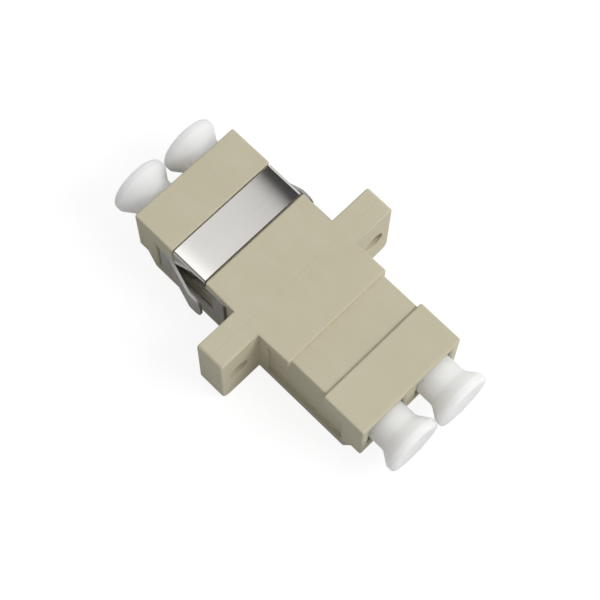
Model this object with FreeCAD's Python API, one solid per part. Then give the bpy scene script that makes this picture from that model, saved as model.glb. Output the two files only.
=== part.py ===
import FreeCAD, Part
import math
import os

# Duplex fibre adapter for two small-form push-pull connectors, built on the footprint of a larger
# single connector so that it fits the same panel cut-out.
# Frame: X runs along the bores, Y across the two ports, Z up. The origin lies on the underside, at
# the middle of the width, in the plane where the two housing halves meet. The front half is on +X.
# All sizes are in millimetres.

# Housing, made of two equal halves; the rear half is the front half turned about Z.
body_length = 29.8
body_width = 12.8
body_height = 9.3
flange_width = 22.4
flange_thickness = 3.2
ear_hole_inset = 2.2
ear_hole_diameter = 2.3
ear_top_radius = 0.4
ear_foot_radius = 1.0

# Recess for the strap of the panel clip, and the side pockets for its legs.
recess_depth = 0.4
recess_edge_radius = 0.2
end_block_length = 5.0
recess_length = 4.45
pocket_start = 1.1
pocket_end_wall = 2.6
pocket_foot = 1.2
pocket_brow_inner = 1.5
pocket_brow_outer = 2.7

# Ports: a square socket for the connector, and below it the room for its latch.
port_pitch = 6.25
port_size = 4.66
port_axis_height = 6.0
port_lead_in = 0.15
centre_wall = 1.2
latch_depth = 2.4
latch_slot_width = 3.0
catch_setback = 4.2
latch_pocket_length = 4.4
mouth_cut = 2.05
cheek_step = 1.1
cheek_height = 2.45
web_height = 3.35

# Ferrule sleeves and the posts that hold them.
ferrule_diameter = 1.25
ferrule_entry = 0.15
ferrule_entry_draft = 0.05
sleeve_wall = 0.185
sleeve_length = 6.8
sleeve_slit = 0.3
sleeve_play = 0.03
sleeve_end_play = 0.1
post_wall = 0.56
post_lip = 1.1
post_chamfer = 0.3

# Dowels that line up the two halves before they are welded.
dowel_diameter = 1.0
dowel_length = 0.8
dowel_play = 0.04
dowel_height = 2.2

# Panel clip, folded from one piece of spring steel.
clip_thickness = 0.3
clip_side_play = 0.05
clip_end_play = 0.15
clip_front_play = 0.5
clip_rear_play = 0.4
clip_foot_play = 0.05
clip_brow_play = 0.1
window_foot_bar = 1.35
window_head_bar = 0.2
window_rear_bar = 1.1
window_front_bar = 1.55
tab_play = 0.08
tab_end_play = 0.35
tab_root = 0.5
tab_flare_angle = 17.0
tab_flare_length = 4.2
tab_bend_radius = 0.8
tab_corner_radius = 1.0

# Dust plugs, moulded in soft plastic.
plug_stem_diameter = 4.4
plug_insertion = 8.0
plug_neck = 0.9
plug_neck_radius = 1.0
plug_flare_angle = 34.0
plug_head_length = 2.35
plug_rim_diameter = 6.1
plug_rim_radius = 0.3
plug_dish = 0.15
plug_dish_border = 0.5
plug_bore_diameter = 2.6
plug_bore_depth = 6.0
plug_tip_radius = 0.4
# Each plug was pushed in by hand, so each stands off its mouth by its own amount.
plug_stand_off_front_left = 0.7
plug_stand_off_front_right = 0.5
plug_stand_off_rear_left = 0.0
plug_stand_off_rear_right = 0.25

# Values that follow from the sizes above.
half_length = body_length / 2
half_width = body_width / 2
half_flange = flange_thickness / 2
ear_hole_pitch = flange_width - 2 * ear_hole_inset
recess_far = half_length - end_block_length
recess_near = recess_far - recess_length
pocket_near = half_flange + pocket_start
pocket_far = half_length - pocket_end_wall
port_low = port_axis_height - port_size / 2
port_high = port_axis_height + port_size / 2
latch_side = port_pitch / 2 + latch_slot_width / 2
latch_floor = port_low - latch_depth
catch_inner = half_length - catch_setback
sleeve_outer = ferrule_diameter / 2 + sleeve_wall
seat_radius = sleeve_outer + sleeve_play
post_radius = seat_radius + post_wall
seat_end = sleeve_length / 2 + sleeve_end_play
post_end = seat_end + post_lip
entry_radius = (ferrule_diameter + ferrule_entry) / 2
clip_bend_radius = recess_edge_radius - clip_side_play
cut_past = 1.0
NEAR = 0.001
ALONG_X = FreeCAD.Vector(1, 0, 0)
ALONG_Y = FreeCAD.Vector(0, 1, 0)
ALONG_Z = FreeCAD.Vector(0, 0, 1)
ORIGIN = FreeCAD.Vector(0, 0, 0)


def block(x0, x1, y0, y1, z0, z1):
    """A box between two corners."""
    return Part.makeBox(x1 - x0, y1 - y0, z1 - z0, FreeCAD.Vector(x0, y0, z0))


def rod(radius, x0, x1, y, z):
    """A cylinder along X."""
    return Part.makeCylinder(radius, x1 - x0, FreeCAD.Vector(x0, y, z), ALONG_X)


def turned(shape):
    """The shape turned half a turn about Z, as the rear half is to the front half."""
    copy = shape.copy()
    copy.rotate(ORIGIN, ALONG_Z, 180)
    return copy


def arch(width, z0, z1, top_radius, foot_radius, x0, x1):
    """A plate across X whose outline is a rectangle about the middle with rounded corners."""
    half = width / 2
    plate = block(x0, x1, -half, half, z0, z1)
    for y in (-half, half):
        for z, radius in ((z0, foot_radius), (z1, top_radius)):
            if radius > 0:
                corner = edges_at(plate, y, z)
                plate = plate.makeFillet(radius, corner)
    return plate


def edges_at(shape, y, z):
    """The straight edges along X that lie at one height and one place across."""
    found = []
    for edge in shape.Edges:
        middle = edge.CenterOfMass
        along = abs(edge.tangentAt(edge.FirstParameter).x)
        if abs(middle.y - y) + abs(middle.z - z) < NEAR and along > 1 - NEAR:
            found.append(edge)
    return found


def strap_recess():
    """What is cut away round the top and sides of the body for the strap of the clip."""
    core_width = body_width - 2 * recess_depth
    core_top = body_height - recess_depth
    core = arch(core_width, 0, core_top, recess_edge_radius, 0, recess_near, recess_far)
    ring = block(
        recess_near, recess_far, -body_width, body_width, pocket_foot, body_height + cut_past
    )
    return ring.cut(core)


def leg_pockets():
    """Flat pockets in both sides of the body, from the flange to the end block."""
    floor = half_width - recess_depth
    inner_top = body_height - pocket_brow_inner
    outer_top = body_height - pocket_brow_outer
    pieces = []
    for side in (-1, 1):
        y0, y1 = sorted((side * floor, side * body_width))
        pieces.append(block(pocket_near, recess_near, y0, y1, pocket_foot, inner_top))
        pieces.append(block(recess_far, pocket_far, y0, y1, pocket_foot, outer_top))
    return pieces


def port_room(y):
    """The air in one port: connector socket, latch slot, latch pocket and the lead-in at its mouth."""
    half = port_size / 2
    beyond = half_length + cut_past
    socket = block(centre_wall, beyond, y - half, y + half, port_low, port_high)
    slot_half = latch_slot_width / 2
    slot = block(catch_inner, beyond, y - slot_half, y + slot_half, latch_floor, port_axis_height)
    pocket_inner = catch_inner - latch_pocket_length
    pocket = block(pocket_inner, catch_inner, y - half, y + half, latch_floor, port_axis_height)
    rings = []
    for x, grow in ((half_length - port_lead_in, 0), (half_length, port_lead_in)):
        low = port_low - grow
        high = port_high + grow
        ring = [
            FreeCAD.Vector(x, y - half - grow, low),
            FreeCAD.Vector(x, y + half + grow, low),
            FreeCAD.Vector(x, y + half + grow, high),
            FreeCAD.Vector(x, y - half - grow, high),
            FreeCAD.Vector(x, y - half - grow, low),
        ]
        rings.append(Part.makePolygon(ring))
    lead_in = Part.makeLoft(rings, True, True)
    return socket.fuse([slot, pocket, lead_in])


def mouth_relief():
    """The open underside of the mouth: the floor across both latch slots, and the cheeks."""
    beyond = half_length + cut_past
    inner = half_length - mouth_cut
    floor = block(inner, beyond, -latch_side, latch_side, -cut_past, web_height)
    step = half_length - cheek_step
    outline = [
        FreeCAD.Vector(inner, -body_width, -cut_past),
        FreeCAD.Vector(inner, -body_width, 0),
        FreeCAD.Vector(step, -body_width, cheek_height),
        FreeCAD.Vector(beyond, -body_width, cheek_height),
        FreeCAD.Vector(beyond, -body_width, -cut_past),
        FreeCAD.Vector(inner, -body_width, -cut_past),
    ]
    cheeks = Part.Face(Part.makePolygon(outline)).extrude(FreeCAD.Vector(0, 2 * body_width, 0))
    return [floor, cheeks]


def sleeve_post(y):
    """The hollow post on the centre wall that holds half of a ferrule sleeve."""
    post = rod(post_radius, 0, post_end, y, port_axis_height)
    rim = Part.makeCone(
        post_radius,
        post_radius - post_chamfer,
        post_chamfer,
        FreeCAD.Vector(post_end - post_chamfer, y, port_axis_height),
        ALONG_X,
    )
    trimmed = post.cut(rod(post_radius + cut_past, post_end - post_chamfer, post_end, y, port_axis_height))
    return trimmed.fuse(rim)


def sleeve_seat(y):
    """The air inside a post: the seat of the sleeve, and the ferrule's entry, drafted and with a lead-in."""
    seat = rod(seat_radius, -cut_past, seat_end, y, port_axis_height)
    entry = Part.makeCone(
        entry_radius,
        entry_radius + ferrule_entry_draft,
        post_lip,
        FreeCAD.Vector(seat_end, y, port_axis_height),
        ALONG_X,
    )
    mouth = Part.makeCone(
        entry_radius,
        entry_radius + post_chamfer,
        post_chamfer,
        FreeCAD.Vector(post_end - post_chamfer, y, port_axis_height),
        ALONG_X,
    )
    return seat.fuse([entry, mouth])


def housing_half():
    """One moulded half: body, half of the flange, two ports, posts, pockets and dowel."""
    body = block(0, half_length, -half_width, half_width, 0, body_height)
    flange = arch(flange_width, 0, body_height, ear_top_radius, ear_foot_radius, 0, half_flange)
    half = body.fuse(flange)
    half = half.cut([strap_recess()] + leg_pockets() + mouth_relief())
    for y in (-port_pitch / 2, port_pitch / 2):
        half = half.cut(port_room(y))
        half = half.fuse(sleeve_post(y))
        half = half.cut(sleeve_seat(y))
    for y in (-ear_hole_pitch / 2, ear_hole_pitch / 2):
        hole = rod(ear_hole_diameter / 2, -cut_past, flange_thickness, y, body_height / 2)
        half = half.cut(hole)
    pin_y = port_pitch / 2
    pin = rod(dowel_diameter / 2, -dowel_length, 0, pin_y, dowel_height)
    socket_radius = dowel_diameter / 2 + dowel_play
    socket_depth = dowel_length + 2 * dowel_play
    socket = rod(socket_radius, 0, socket_depth, -pin_y, dowel_height)
    half = half.fuse(pin).cut(socket)
    return half.removeSplitter()


def split_sleeve(y):
    """A thin tube with a slit along its top, open enough to grip two ferrules."""
    inner = ferrule_diameter / 2
    start = -sleeve_length / 2
    end = sleeve_length / 2
    tube = rod(sleeve_outer, start, end, y, port_axis_height)
    tube = tube.cut(rod(inner, start, end, y, port_axis_height))
    slit = block(
        start - cut_past,
        end + cut_past,
        y - sleeve_slit / 2,
        y + sleeve_slit / 2,
        port_axis_height,
        port_axis_height + sleeve_outer + cut_past,
    )
    return tube.cut(slit)


def line(start, end):
    return Part.LineSegment(start, end).toShape()


def arc(start, middle, end):
    return Part.Arc(start, middle, end).toShape()


def plan_point(x, y, heading, shift):
    """The point at a distance to the left of a place passed on a heading, in plan."""
    return FreeCAD.Vector(x - shift * math.sin(heading), y + shift * math.cos(heading), 0)


def ribbon(points, thickness, bend_radius):
    """A strip of even thickness along a line of points in plan, with round bends."""
    headings = []
    for (x0, y0), (x1, y1) in zip(points, points[1:]):
        headings.append(math.atan2(y1 - y0, x1 - x0))
    first = points[0] + (headings[0],)
    last = points[-1] + (headings[-1],)
    half = thickness / 2
    edges = [
        line(plan_point(*first, -half), plan_point(*first, half)),
        line(plan_point(*last, -half), plan_point(*last, half)),
    ]
    for shift in (-half, half):
        here = plan_point(*first, shift)
        for (x, y), arrive, leave in zip(points[1:], headings, headings[1:]):
            turn = leave - arrive
            side = math.copysign(bend_radius, turn)
            back = bend_radius * math.tan(abs(turn) / 2)
            start_x = x - back * math.cos(arrive)
            start_y = y - back * math.sin(arrive)
            centre = plan_point(start_x, start_y, arrive, side)
            bend = [
                plan_point(centre.x, centre.y, heading, shift - side)
                for heading in (arrive, (arrive + leave) / 2, leave)
            ]
            edges += [line(here, bend[0]), arc(*bend)]
            here = bend[2]
        edges.append(line(here, plan_point(*last, shift)))
    return Part.Face(Part.Wire(Part.__sortEdges__(edges)))


def clip_side(outer):
    """One leg of the clip on the -Y side, with its window and the tab sprung out of it."""
    inner = outer - clip_thickness
    foot = pocket_foot + clip_foot_play
    rear = -(pocket_far - clip_rear_play)
    front = -(pocket_near + clip_front_play)
    inner_top = body_height - pocket_brow_inner - clip_brow_play
    outer_top = body_height - pocket_brow_outer - clip_brow_play
    strap_rear = -(recess_far - clip_end_play)
    strap_front = -(recess_near + clip_end_play)
    plate = block(rear, strap_front, -outer, -inner, foot, outer_top)
    plate = plate.fuse(block(strap_rear, front, -outer, -inner, foot, inner_top))
    window_rear = rear + window_rear_bar
    window_front = front - window_front_bar
    window_low = foot + window_foot_bar
    window_high = outer_top - window_head_bar
    window = block(window_rear, window_front, -body_width, 0, window_low, window_high)
    plate = plate.cut(window)
    middle = -(outer - clip_thickness / 2)
    rise = tab_flare_length * math.tan(math.radians(tab_flare_angle))
    bend = window_rear + tab_flare_length
    tip = window_front - tab_end_play
    route = [
        (window_rear - tab_root, middle),
        (window_rear, middle),
        (bend, middle - rise),
        (tip, middle - rise),
    ]
    tab_low = window_low + tab_play
    tab_high = window_high - tab_play
    strip = ribbon(route, clip_thickness, tab_bend_radius)
    strip.translate(FreeCAD.Vector(0, 0, tab_low))
    tab = strip.extrude(FreeCAD.Vector(0, 0, tab_high - tab_low))
    tip_edges = [
        edge
        for edge in tab.Edges
        if abs(edge.CenterOfMass.x - tip) < NEAR and edge.BoundBox.ZLength < NEAR
    ]
    tab = tab.makeFillet(tab_corner_radius, tip_edges)
    return plate.fuse(tab)


def panel_clip():
    """The spring clip of the rear half: a strap over the top and a leg down each side."""
    outer = half_width - clip_side_play
    top = body_height - recess_depth + clip_thickness
    foot = pocket_foot + clip_foot_play
    strap_rear = -(recess_far - clip_end_play)
    strap_front = -(recess_near + clip_end_play)
    outside = arch(
        2 * outer, foot, top, clip_bend_radius + clip_thickness, 0, strap_rear, strap_front
    )
    inner = outer - clip_thickness
    inside = arch(
        2 * inner, foot - cut_past, top - clip_thickness, clip_bend_radius, 0, strap_rear, strap_front
    )
    strap = outside.cut(inside)
    knee = body_height - pocket_brow_outer - clip_brow_play
    strap = strap.cut(block(-body_length, 0, -body_width, body_width, 0, knee))
    near_side = clip_side(outer)
    far_side = near_side.mirror(ORIGIN, ALONG_Y)
    return strap.fuse([near_side, far_side]).removeSplitter()


def dust_plug(y, stand_off):
    """A dust plug in a front port: hollow stem, neck, trumpet flare and a dished round head."""
    def point(x, radius):
        return FreeCAD.Vector(x, y, port_axis_height + radius)

    def on_circle(x, radius, centre_turn, size):
        """The point of a round corner at an angle from the outward radius towards the tip."""
        return point(x - size * math.sin(centre_turn), radius + size * math.cos(centre_turn))

    stem = plug_stem_diameter / 2
    rim = plug_rim_diameter / 2
    bore = plug_bore_diameter / 2
    side = plug_rim_radius
    tip = plug_tip_radius
    bend = plug_neck_radius
    slope = math.radians(plug_flare_angle)
    inner = half_length + stand_off - plug_insertion
    bore_end = inner + plug_bore_depth
    flare_start = half_length + stand_off + plug_neck
    outer = flare_start + plug_head_length
    neck_centre = stem + bend
    neck_rise = bend * (1 - math.cos(slope))
    roll_centre = rim - side
    cone_rise = rim - side * (1 - math.cos(slope)) - stem - neck_rise
    cone_end = flare_start + bend * math.sin(slope) + cone_rise / math.tan(slope)
    roll_start = cone_end + side * math.sin(slope)
    dish_edge = rim - plug_dish_border
    eighth = math.pi / 4
    quarter = math.pi / 2
    neck_points = [
        on_circle(flare_start, neck_centre, math.pi + turn, bend) for turn in (0, slope / 2, slope)
    ]
    roll_points = [on_circle(roll_start, roll_centre, turn, side) for turn in (slope, slope / 2, 0)]
    face_points = [on_circle(outer - side, roll_centre, -turn, side) for turn in (0, eighth, quarter)]
    tip_points = [on_circle(inner + tip, stem - tip, turn, tip) for turn in (quarter, eighth, 0)]
    dish_points = [
        point(outer, dish_edge),
        point(outer - plug_dish, dish_edge - plug_dish),
        point(outer - plug_dish, 0),
    ]
    bore_points = [point(bore_end, 0), point(bore_end, bore), point(inner, bore)]
    outline = [
        line(bore_points[0], bore_points[1]),
        line(bore_points[1], bore_points[2]),
        line(bore_points[2], tip_points[0]),
        arc(*tip_points),
        line(tip_points[2], neck_points[0]),
        arc(*neck_points),
        line(neck_points[2], roll_points[0]),
        arc(*roll_points),
        line(roll_points[2], face_points[0]),
        arc(*face_points),
        line(face_points[2], dish_points[0]),
        line(dish_points[0], dish_points[1]),
        line(dish_points[1], dish_points[2]),
        line(dish_points[2], bore_points[0]),
    ]
    half_section = Part.Face(Part.Wire(outline))
    axis_point = FreeCAD.Vector(0, y, port_axis_height)
    return half_section.revolve(axis_point, ALONG_X, 360)


def main():
    os.makedirs("parts", exist_ok=True)
    left = port_pitch / 2
    front = housing_half()
    nodes = {
        "housing_front": front,
        "housing_rear": turned(front),
        "panel_clip": panel_clip(),
        "sleeve_left": split_sleeve(left),
        "sleeve_right": split_sleeve(-left),
        "plug_front_left": dust_plug(left, plug_stand_off_front_left),
        "plug_front_right": dust_plug(-left, plug_stand_off_front_right),
        "plug_rear_left": turned(dust_plug(-left, plug_stand_off_rear_left)),
        "plug_rear_right": turned(dust_plug(left, plug_stand_off_rear_right)),
    }
    for name, shape in nodes.items():
        shape.exportStep("parts/" + name + ".step")
        box = shape.BoundBox
        print(
            name,
            "valid" if shape.isValid() else "NOT VALID",
            "solids", len(shape.Solids),
            "volume", round(shape.Volume, 2),
            "x", round(box.XMin, 2), round(box.XMax, 2),
            "y", round(box.YMin, 2), round(box.YMax, 2),
            "z", round(box.ZMin, 2), round(box.ZMax, 2),
        )


main()
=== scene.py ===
import math

import bmesh
import bpy
import numpy as np
from mathutils import Matrix, Vector


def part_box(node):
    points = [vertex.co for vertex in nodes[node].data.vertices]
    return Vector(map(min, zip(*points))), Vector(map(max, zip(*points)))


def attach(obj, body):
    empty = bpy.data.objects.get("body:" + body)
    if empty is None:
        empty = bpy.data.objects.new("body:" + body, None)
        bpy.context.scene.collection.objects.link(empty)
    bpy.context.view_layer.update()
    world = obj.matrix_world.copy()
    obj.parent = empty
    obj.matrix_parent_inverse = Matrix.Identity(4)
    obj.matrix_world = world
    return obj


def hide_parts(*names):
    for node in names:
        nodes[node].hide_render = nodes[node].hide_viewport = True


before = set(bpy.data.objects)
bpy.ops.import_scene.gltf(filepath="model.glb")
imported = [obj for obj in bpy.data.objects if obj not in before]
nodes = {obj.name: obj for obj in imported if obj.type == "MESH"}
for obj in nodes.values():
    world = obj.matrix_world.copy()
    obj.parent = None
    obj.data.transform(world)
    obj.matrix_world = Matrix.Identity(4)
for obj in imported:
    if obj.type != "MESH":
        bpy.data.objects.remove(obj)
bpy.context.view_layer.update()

# ---------------------------------------------------------------------------------------------
# Housing halves. Each is injection moulded in beige glass-filled plastic from the same tool; the
# rear one is turned end for end and ultrasonically welded to the front one in the middle of the
# flange. The tool leaves soft outer edges, a fine spark-eroded grain and a faint parting groove.

mm = 0.001
edge_radius = 0.2 * mm
# The rims of the ear holes and the edges of the parting groove take a share of that radius.
hole_share = 0.25
parting_share = 0.08
half_body, half_mouth, mouth_top = 6.4 * mm, 5.9 * mm, 8.7 * mm
ear_hole_y, ear_hole_z, ear_hole_reach = 9.0 * mm, 4.65 * mm, 1.3 * mm
crease_angle, flat_angle = math.radians(35), math.radians(0.5)
touching, joined = 0.02 * mm, 0.0005 * mm


def merged_copy(name, node):
    """A copy of a CAD node with its loose triangles joined, and the flat ones made one face."""
    shell = bmesh.new()
    shell.from_mesh(nodes[node].data)
    bmesh.ops.remove_doubles(shell, verts=shell.verts, dist=joined)
    bmesh.ops.dissolve_limit(
        shell, angle_limit=flat_angle, verts=shell.verts, edges=shell.edges
    )
    mesh = bpy.data.meshes.new(name)
    shell.to_mesh(mesh)
    shell.free()
    piece = bpy.data.objects.new(name, mesh)
    bpy.context.scene.collection.objects.link(piece)
    return piece


def soften_edges(piece, radius, share_of):
    """Rounds the creased edges by a share of the radius that share_of gives for each edge."""
    mesh = piece.data
    shell = bmesh.new()
    shell.from_mesh(mesh)
    weight = shell.edges.layers.float.new("bevel_weight_edge")
    for edge in shell.edges:
        creased = len(edge.link_faces) == 2 and edge.calc_face_angle() > crease_angle
        edge.smooth = not creased
        if creased:
            edge[weight] = share_of(edge)
    for face in shell.faces:
        face.smooth = True
    shell.to_mesh(mesh)
    shell.free()
    bevel = piece.modifiers.new("soft edges", "BEVEL")
    bevel.limit_method = "WEIGHT"
    bevel.width = radius
    bevel.segments = 3
    bevel.use_clamp_overlap = False
    bevel.loop_slide = False
    bevel.harden_normals = True


class Wire:
    """An output socket of a material. Arithmetic on it adds Math nodes, and node() any other."""

    def __init__(self, tree, socket=None):
        self.tree = tree
        self.socket = socket

    def node(self, kind, settings, inputs, output=0):
        """Adds a node, sets it, fills its sockets, and returns the wire that leaves it."""
        made = self.tree.nodes.new(kind)
        for name, value in settings.items():
            setattr(made, name, value)
        for place, value in inputs.items():
            if isinstance(value, Wire):
                self.tree.links.new(value.socket, made.inputs[place])
            else:
                made.inputs[place].default_value = value
        return Wire(self.tree, made.outputs[output]) if made.outputs else None

    def maths(self, operation, first, second):
        """Adds a Math node that works on two wires or numbers."""
        return self.node("ShaderNodeMath", {"operation": operation}, {0: first, 1: second})

    def __add__(self, other):
        return self.maths("ADD", self, other)

    def __radd__(self, other):
        return self.maths("ADD", other, self)

    def __sub__(self, other):
        return self.maths("SUBTRACT", self, other)

    def __rsub__(self, other):
        return self.maths("SUBTRACT", other, self)

    def __mul__(self, other):
        return self.maths("MULTIPLY", self, other)

    def __rmul__(self, other):
        return self.maths("MULTIPLY", other, self)

    def between(self, low, high):
        """Zero below low, one above high, and smooth in between."""
        return self.node(
            "ShaderNodeMapRange", {"interpolation_type": "SMOOTHSTEP"}, {0: self, 1: low, 2: high}
        )


def new_material(name):
    """An empty material and the wire from which its nodes are added."""
    material = bpy.data.materials.new(name)
    material.use_nodes = True
    material.node_tree.nodes.clear()
    return material, Wire(material.node_tree)


def noise(start, scale, detail=2.0, stretch=(1.0, 1.0, 1.0)):
    """Soft random noise on the object's own coordinates, with its scale in lumps per metre."""
    place = start.node("ShaderNodeTexCoord", {}, {}, "Object")
    spread = start.node("ShaderNodeMapping", {}, {"Vector": place, "Scale": stretch})
    return start.node(
        "ShaderNodeTexNoise", {}, {"Vector": spread, "Scale": scale, "Detail": detail}
    )


def mix_colours(start, share, first, second):
    """The first colour where the share is zero, the second where it is one, and blends between."""
    return start.node(
        "ShaderNodeMix",
        {"data_type": "RGBA"},
        {"Factor": share, 6: (*first, 1.0), 7: (*second, 1.0)},
        2,
    )


def finish_material(start, sockets, grain, grain_depth, grain_strength=1.0):
    """The Principled shader of a finish, with its grain as bump."""
    bump = start.node(
        "ShaderNodeBump",
        {},
        {"Height": grain, "Distance": grain_depth, "Strength": grain_strength},
    )
    shader = start.node("ShaderNodeBsdfPrincipled", {}, {**sockets, "Normal": bump})
    start.node("ShaderNodeOutputMaterial", {}, {"Surface": shader})


def moulded_beige():
    """Beige swayed by broad clouds and streaks of melt flow, with a fine grain that dulls it."""
    material, start = new_material("moulded beige plastic")
    clouds = noise(start, 180.0, 3.0)
    flow = noise(start, 900.0, 2.0, (0.35, 1.0, 1.0))
    grain = noise(start, 11000.0, 3.0)
    tone = (clouds * 0.6 + flow * 0.4).between(0.3, 0.7)
    colour = mix_colours(start, tone, (0.535, 0.492, 0.355), (0.560, 0.518, 0.387))
    roughness = 0.42 + grain * 0.16
    finish_material(
        start,
        {"Base Color": colour, "Roughness": roughness, "Specular IOR Level": 0.4},
        grain + flow * 0.5,
        0.006 * mm,
        0.6,
    )
    return material


def share_of_edge(box):
    """Gives a function of an edge of the half in this box: how round it is, from 0 to 1."""
    low, high = box

    def share(edge):
        first, second = (vertex.co for vertex in edge.verts)
        middle = (first + second) / 2
        out = abs(middle.y)
        if math.hypot(out - ear_hole_y, middle.z - ear_hole_z) < ear_hole_reach:
            return hole_share if abs(middle.x) > touching else 0.0
        if abs(middle.x) < touching:
            level = low.z + touching < middle.z < high.z - touching
            return 0.0 if level and out < half_body - touching else parting_share
        in_mouth = out < half_mouth and low.z + touching < middle.z < mouth_top
        if in_mouth or edge.calc_face_angle_signed() < 0:
            return 0.0
        return 1.0

    return share


beige = moulded_beige()
for side in ("front", "rear"):
    node = "housing_" + side
    piece = merged_copy("moulded_" + side + "_half", node)
    soften_edges(piece, edge_radius, share_of_edge(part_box(node)))
    piece.data.materials.append(beige)
    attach(piece, "adapter")
    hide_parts(node)

# ---------------------------------------------------------------------------------------------
# Panel clip. One strip of half-hard stainless steel is blanked, its two tabs are lanced out of
# the legs and sprung outwards, and the strip is folded over the rear half. It snaps into the
# side pockets and holds the adapter in a panel without screws.

sheet, rolled_edge = 0.3 * mm, 0.05 * mm
leg_grid, strap_grid, bend_cells = 0.4 * mm, 0.2 * mm, 8
hair = 0.0001 * mm


def grid_mesh(name, points, kept=None):
    """A mesh of quads over a grid of points, one for each cell that is kept."""
    rows, columns = points.shape[:2]
    index = np.arange(rows * columns).reshape(rows, columns)
    quads = np.stack(
        [index[:-1, :-1], index[:-1, 1:], index[1:, 1:], index[1:, :-1]], axis=-1
    )
    if kept is not None:
        quads = quads[kept]
    quads = quads.reshape(-1, 4)
    used, faces = np.unique(quads, return_inverse=True)
    mesh = bpy.data.meshes.new(name)
    mesh.from_pydata(points.reshape(-1, 3)[used].tolist(), [], faces.reshape(-1, 4).tolist())
    return mesh


def spaced(stops, step):
    """Values from the first stop to the last, evenly spaced between stops and landing on each."""
    parts = [
        np.linspace(a, b, max(1, math.ceil((b - a) / step)), endpoint=False)
        for a, b in zip(stops, stops[1:])
    ]
    return np.concatenate(parts + [[stops[-1]]])


clip_low, clip_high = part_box("panel_clip")
leg_face = 6.35 * mm
leg_middle = leg_face - sheet / 2
strap_middle = clip_high.z - sheet / 2
bend = 0.2 * mm
half_strap = leg_middle - bend
strap_rear, strap_front = -9.75 * mm, -5.6 * mm
knee, shoulder = 6.5 * mm, 7.7 * mm
window_rear, window_front = -10.8 * mm, -4.75 * mm
window_foot, window_head = 2.6 * mm, 6.3 * mm
tab_foot, tab_head = 2.68 * mm, 6.22 * mm
rear_crown, front_crown, crown_power = 0.06 * mm, 0.08 * mm, 8

# The flat blank: across it x, and along it the height up one leg, the bend, the strap and back.
across = spaced(
    [clip_low.x, window_rear, strap_rear, strap_front, window_front, clip_high.x], leg_grid
)
window_stops = [window_foot, tab_foot, tab_head, window_head]
rise = spaced([clip_low.z, *window_stops, knee, shoulder, strap_middle - bend], leg_grid)
turn = np.linspace(0, math.pi / 2, bend_cells + 1)[1:]
bend_y = -leg_middle + bend * (1 - np.cos(turn))
bend_z = strap_middle - bend * (1 - np.sin(turn))
reach = spaced([-half_strap, 0.0], strap_grid)[1:]
half_y = np.concatenate([np.full(rise.shape, -leg_middle), bend_y, reach])
half_z = np.concatenate([rise, bend_z, np.full(reach.shape, strap_middle)])
path_y = np.concatenate([half_y, -half_y[-2::-1]])
path_z = np.concatenate([half_z, half_z[-2::-1]])
height, place_x = np.meshgrid(path_z, across, indexing="ij")
place_y = np.broadcast_to(path_y[:, None], height.shape)

# The strap bows up between its bends, by a crown that grows towards the front and keeps nearly
# its full height until close to the bends: it falls with a high power of the distance out.
forward = (place_x - strap_rear) / (strap_front - strap_rear)
crown = rear_crown + (front_crown - rear_crown) * np.clip(forward, 0, 1)
flatness = np.clip(np.abs(place_y) / half_strap, 0, 1)
lift = crown * (1 - flatness**crown_power)
blank = np.stack([place_x, place_y, height + lift], axis=-1)

# Cells are kept where there is steel: the legs round their windows, the shoulders and the strap.
cell_x = (across[:-1] + across[1:]) / 2
cell_z = np.minimum(path_z[:-1], path_z[1:])[:, None] + hair
over_leg = cell_z < knee
over_shoulder = (cell_z >= knee) & (cell_z < shoulder) & (cell_x > strap_rear)
over_strap = (cell_z >= shoulder) & (cell_x > strap_rear) & (cell_x < strap_front)
window_height = (cell_z > window_foot) & (cell_z < window_head)
window_length = (cell_x > window_rear) & (cell_x < window_front)
kept = (over_leg & ~(window_height & window_length)) | over_shoulder | over_strap
clip_mesh = grid_mesh("spring_clip", blank, kept)

# The tabs: a heading that turns outwards at the root and back again near the tip, summed along
# the tab, with the height narrowing to round corners at the tip.
tab_length, tab_points = 5.9 * mm, 60
root_bend, tip_bend_start, tip_bend = 0.25 * mm, 4.25 * mm, 0.3 * mm
tip_radius = 1.0 * mm
flare = math.radians(17)
tab_steps = np.linspace(0, tab_length, tab_points)


def ramp(along, start, length):
    """Zero up to the start, one from a length further on, and a straight rise between."""
    return np.clip((along - start) / length, 0, 1)


heading = flare * (ramp(tab_steps, 0, root_bend) - ramp(tab_steps, tip_bend_start, tip_bend))
step = np.diff(tab_steps, prepend=0)
tab_x = window_rear + np.cumsum(step * np.cos(heading))
tab_out = leg_middle + np.cumsum(step * np.sin(heading))
tab_rows = rise[(rise > tab_foot - hair) & (rise < tab_head + hair)]
tab_shape = (tab_points, len(tab_rows))
tab_middle = (tab_foot + tab_head) / 2
half_height = (tab_head - tab_foot) / 2
into_tip = np.clip(tab_steps - (tab_length - tip_radius), 0, tip_radius)
narrowed = half_height - tip_radius + np.sqrt(tip_radius**2 - into_tip**2)
shell = bmesh.new()
shell.from_mesh(clip_mesh)
for side in (-1, 1):
    tab = np.stack(
        [
            np.broadcast_to(tab_x[:, None], tab_shape),
            np.broadcast_to(side * tab_out[:, None], tab_shape),
            tab_middle + (tab_rows - tab_middle)[None, :] / half_height * narrowed[:, None],
        ],
        axis=-1,
    )
    shell.from_mesh(grid_mesh("tab", tab))
bmesh.ops.remove_doubles(shell, verts=shell.verts, dist=0.001 * mm)
bmesh.ops.recalc_face_normals(shell, faces=shell.faces)
for face in shell.faces:
    face.smooth = True
shell.to_mesh(clip_mesh)
shell.free()
clip = bpy.data.objects.new("spring_clip", clip_mesh)
bpy.context.scene.collection.objects.link(clip)
thick = clip.modifiers.new("sheet", "SOLIDIFY")
thick.thickness = sheet
thick.offset = 0.0
thick.use_even_offset = True
thick.material_offset_rim = 1
rim = clip.modifiers.new("rolled edges", "BEVEL")
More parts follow.
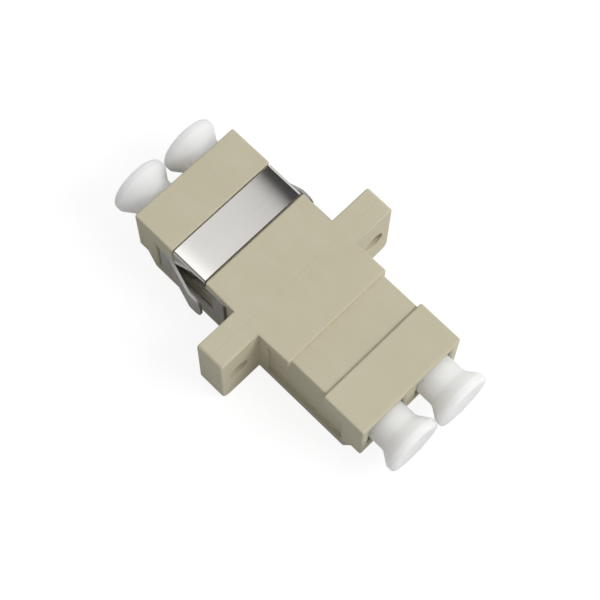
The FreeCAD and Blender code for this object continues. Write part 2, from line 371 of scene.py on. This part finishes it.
rim.width = rolled_edge
rim.segments = 2
rim.limit_method = "ANGLE"
rim.angle_limit = math.radians(50)
rim.harden_normals = True


def rolled_steel():
    """Bright steel, paler and duller in smudges, with fine streaks along the strap."""
    material, start = new_material("rolled spring steel")
    streaks = noise(start, 2600.0, 3.0, (1.0, 0.06, 1.0))
    smudge = noise(start, 300.0, 2.0)
    colour = mix_colours(start, smudge, (0.61, 0.60, 0.575), (0.69, 0.675, 0.645))
    finish_material(
        start,
        {
            "Base Color": colour,
            "Metallic": 1.0,
            "Roughness": 0.07 + smudge * 0.05 + streaks * 0.03,
        },
        streaks,
        0.0004 * mm,
        0.3,
    )
    return material


def sheared_steel():
    """The torn grey of a cut edge, rough in small lumps."""
    material, start = new_material("sheared steel edge")
    tear = noise(start, 5000.0, 2.0)
    colour = mix_colours(start, tear, (0.36, 0.36, 0.355), (0.46, 0.46, 0.455))
    finish_material(
        start,
        {"Base Color": colour, "Metallic": 1.0, "Roughness": 0.42 + tear * 0.14},
        tear,
        0.002 * mm,
    )
    return material


clip_mesh.materials.append(rolled_steel())
clip_mesh.materials.append(sheared_steel())
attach(clip, "adapter")
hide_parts("panel_clip")

# ---------------------------------------------------------------------------------------------
# Ferrule sleeves. Each is rolled from phosphor bronze strip into a split tube and trapped
# between the posts of the two halves, deep in the ports.


def bronze():
    """Bronze in lighter and darker streaks along the tube."""
    material, start = new_material("phosphor bronze")
    streaks = noise(start, 5000.0, 2.0, (0.1, 1.0, 1.0))
    colour = mix_colours(start, streaks, (0.62, 0.38, 0.22), (0.78, 0.50, 0.30))
    finish_material(
        start,
        {"Base Color": colour, "Metallic": 1.0, "Roughness": 0.22 + streaks * 0.12},
        streaks,
        0.001 * mm,
    )
    return material


sleeve_finish = bronze()
for side in ("left", "right"):
    nodes["sleeve_" + side].data.materials.clear()
    nodes["sleeve_" + side].data.materials.append(sleeve_finish)

# ---------------------------------------------------------------------------------------------
# Dust plugs. They are moulded in soft milky polyethylene: a hollow stem that grips the port, a
# neck, a trumpet flare to pull on, and a round head with a shallow dish.

stem_radius, bore_radius, bore_depth = 2.2 * mm, 1.3 * mm, 6.0 * mm
tip_radius, neck_radius, roll_radius = 0.4 * mm, 1.0 * mm, 0.3 * mm
flare_angle, head_length = 34.0, 2.35 * mm
dish_border, dish_depth, dish_slope = 0.5 * mm, 0.12 * mm, 1.0 * mm
tip_points, neck_points, roll_points, rim_points, dish_points = 7, 9, 4, 7, 7
points_round = 97
plug_crease = math.radians(40)


def round_corner(centre, radius, start, end, steps):
    """Points on a circle, in axis and radius, between two angles in degrees from the axis."""
    angle = np.radians(np.linspace(start, end, steps))
    return np.asarray(centre) + radius * np.stack([np.cos(angle), np.sin(angle)], axis=-1)


def dust_plug(name, node):
    """The plug's outline in axis and radius, from the bore's end round the stem's tip, the neck,
    the cone and the rim to the dish's middle, turned round the axis of its CAD node."""
    low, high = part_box(node)
    outward = 1 if high.x > 0 else -1
    axis_y = (low.y + high.y) / 2
    axis_z = (low.z + high.z) / 2
    length = high.x - low.x
    head_radius = (high.z - low.z) / 2
    slope = math.radians(flare_angle)
    neck = length - head_length
    roll_rise = roll_radius * (1 - math.cos(slope))
    cone_rise = head_radius - roll_rise - stem_radius - neck_radius * (1 - math.cos(slope))
    cone = neck + neck_radius * math.sin(slope) + cone_rise / math.tan(slope)
    roll = cone + roll_radius * math.sin(slope)
    dish = head_radius - dish_border
    floor = length - dish_depth
    fall = np.linspace(0, 1, dish_points)[1:]
    ease = fall**2 * (3 - 2 * fall)
    tip_centre = (tip_radius, stem_radius - tip_radius)
    neck_centre = (neck, stem_radius + neck_radius)
    rim_centre = head_radius - roll_radius
    outline = np.concatenate(
        [
            [(bore_depth, 0.0), (bore_depth, bore_radius / 2), (bore_depth, bore_radius)],
            [(0.0, bore_radius)],
            round_corner(tip_centre, tip_radius, 180, 90, tip_points),
            [(neck / 2, stem_radius)],
            round_corner(neck_centre, neck_radius, 270, 270 + flare_angle, neck_points),
            round_corner((roll, rim_centre), roll_radius, 90 + flare_angle, 90, roll_points),
            round_corner((length - roll_radius, rim_centre), roll_radius, 90, 0, rim_points),
            [(length, dish)],
            np.stack([length - dish_depth * ease, dish - dish_slope * fall], axis=-1),
            [(floor, dish / 4), (floor, 0.0)],
        ]
    )
    start_x = low.x if outward > 0 else high.x
    around = np.linspace(0, 2 * math.pi, points_round)
    x = start_x + outward * outline[:, 0]
    points = np.stack(
        [
            np.broadcast_to(x[:, None], (len(outline), len(around))),
            axis_y + outline[:, 1][:, None] * np.cos(around)[None, :],
            axis_z + outline[:, 1][:, None] * np.sin(around)[None, :],
        ],
        axis=-1,
    )
    mesh = grid_mesh(name, points)
    turned = bmesh.new()
    turned.from_mesh(mesh)
    bmesh.ops.remove_doubles(turned, verts=turned.verts, dist=0.001 * mm)
    bmesh.ops.recalc_face_normals(turned, faces=turned.faces)
    for face in turned.faces:
        face.smooth = True
    for edge in turned.edges:
        edge.smooth = len(edge.link_faces) == 2 and edge.calc_face_angle() < plug_crease
    turned.to_mesh(mesh)
    turned.free()
    plug = bpy.data.objects.new(name, mesh)
    bpy.context.scene.collection.objects.link(plug)
    return plug


def milky_plastic():
    """Milky white that lets light in deep, faintly cloudy, with a fine satin grain."""
    material, start = new_material("milky polyethylene")
    cloud = noise(start, 350.0, 2.0)
    grain = noise(start, 7000.0, 2.0)
    colour = mix_colours(start, cloud, (0.82, 0.82, 0.81), (0.86, 0.86, 0.85))
    finish_material(
        start,
        {
            "Base Color": colour,
            "Roughness": 0.46 + grain * 0.1,
            "Subsurface Weight": 1.0,
            "Subsurface Radius": (1.0, 0.95, 0.9),
            "Subsurface Scale": 4.0 * mm,
            "IOR": 1.5,
        },
        grain,
        0.004 * mm,
        0.5,
    )
    return material


plug_finish = milky_plastic()
for end in ("front", "rear"):
    for side in ("left", "right"):
        node = "plug_" + end + "_" + side
        plug = dust_plug("soft_" + node, node)
        plug.data.materials.append(plug_finish)
        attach(plug, end + "_" + side + "_plug")
        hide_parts(node)

# ---------------------------------------------------------------------------------------------
# Table, room, lamp and camera. A plain pale table top in a white room, one large soft lamp high
# over the front left corner, and a camera that looks steeply down from the front right.

table_half = 0.6
table_x, table_y = np.meshgrid([-table_half, table_half], [-table_half, table_half])
table_mesh = grid_mesh("table_top", np.stack([table_x, table_y, np.zeros((2, 2))], axis=-1))
table = bpy.data.objects.new("table_top", table_mesh)
bpy.context.scene.collection.objects.link(table)


def pale_table():
    """White with a soft shadow to the camera alone, and pale card in reflections and for light."""
    material, start = new_material("pale table")
    seen = start.node("ShaderNodeLightPath", {}, {}, "Is Camera Ray")
    card = start.node("ShaderNodeBsdfDiffuse", {}, {"Color": (0.68, 0.68, 0.68, 1.0)})
    dim_card = start.node("ShaderNodeBsdfDiffuse", {}, {"Color": (0.16, 0.16, 0.16, 1.0)})
    glow = start.node("ShaderNodeEmission", {}, {"Color": (1.0, 1.0, 1.0, 1.0), "Strength": 0.88})
    backdrop = start.node("ShaderNodeAddShader", {}, {0: dim_card, 1: glow})
    surface = start.node("ShaderNodeMixShader", {}, {0: seen, 1: card, 2: backdrop})
    start.node("ShaderNodeOutputMaterial", {}, {"Surface": surface})
    return material


table_mesh.materials.append(pale_table())

# The room is white to the eye. Steel reflects a glow overhead and to the right of it, a screen
# hung high on the left that is grey at its top and dark below, and a dim strip low on the right.
# The even light that the room gives is stronger from the left.
world = bpy.data.worlds.new("studio")
world.use_nodes = True
world.node_tree.nodes.clear()
sky = Wire(world.node_tree)
shiny = sky.node("ShaderNodeLightPath", {}, {}, "Is Glossy Ray")
diffuse = sky.node("ShaderNodeLightPath", {}, {}, "Is Diffuse Ray")
direction = sky.node("ShaderNodeTexCoord", {}, {}, "Generated")
toward_y = sky.node("ShaderNodeSeparateXYZ", {}, {0: direction}, "Y")
grey_screen = toward_y.between(0.262, 0.302)
dark_screen = toward_y.between(0.304, 0.334)
low_screen = 1.0 - toward_y.between(-0.8, -0.45)
soft_window = 1.0 - toward_y.between(0.06, 0.25)
past_screens = toward_y.between(0.52, 0.62)
screens = (0.69 * grey_screen + 0.245 * dark_screen) * (1.0 - past_screens)
reflected = (1.03 + 0.5 * soft_window) * (1.0 - screens)
reflected = reflected * (1.0 - 0.85 * low_screen)
room_level = 0.5 + 0.3 * toward_y
level = 1.0 + shiny * (reflected - 1.0) + diffuse * (room_level - 1.0)
background = sky.node("ShaderNodeBackground", {}, {"Color": (1.0, 1.0, 1.0, 1.0), "Strength": level})
sky.node("ShaderNodeOutputWorld", {}, {"Surface": background})
bpy.context.scene.world = world

lamp_azimuth, lamp_elevation = math.radians(27), math.radians(50)
lamp_distance = 0.5
lamp_data = bpy.data.lights.new("softbox", "AREA")
lamp_data.shape = "SQUARE"
lamp_data.size = 0.22
lamp_data.energy = 1.40
lamp = bpy.data.objects.new("softbox", lamp_data)
lamp_way = Vector(
    (
        math.cos(lamp_elevation) * math.cos(lamp_azimuth),
        math.cos(lamp_elevation) * math.sin(lamp_azimuth),
        math.sin(lamp_elevation),
    )
)
lamp.location = lamp_way * lamp_distance
lamp.visible_glossy = False
lamp.rotation_euler = lamp_way.to_track_quat("Z", "Y").to_euler()
bpy.context.scene.collection.objects.link(lamp)

aim = Vector((0.755, -0.131, 4.65)) * mm
azimuth = math.radians(43.105)
elevation = math.radians(70.327)
roll = math.radians(2.012)
distance = 166.75 * mm
turn_to = (
    Matrix.Rotation(azimuth, 4, "Z")
    @ Matrix.Rotation(math.pi / 2 - elevation, 4, "X")
    @ Matrix.Rotation(roll, 4, "Z")
)
camera_data = bpy.data.cameras.new("camera")
camera_data.sensor_width = 36.0
camera_data.lens = 105.86
camera_data.clip_start = 0.01
camera = bpy.data.objects.new("camera", camera_data)
bpy.context.scene.collection.objects.link(camera)
camera.matrix_world = Matrix.Translation(aim) @ turn_to @ Matrix.Translation((0, 0, distance))
bpy.context.scene.camera = camera
bpy.context.scene.view_settings.view_transform = "Standard"
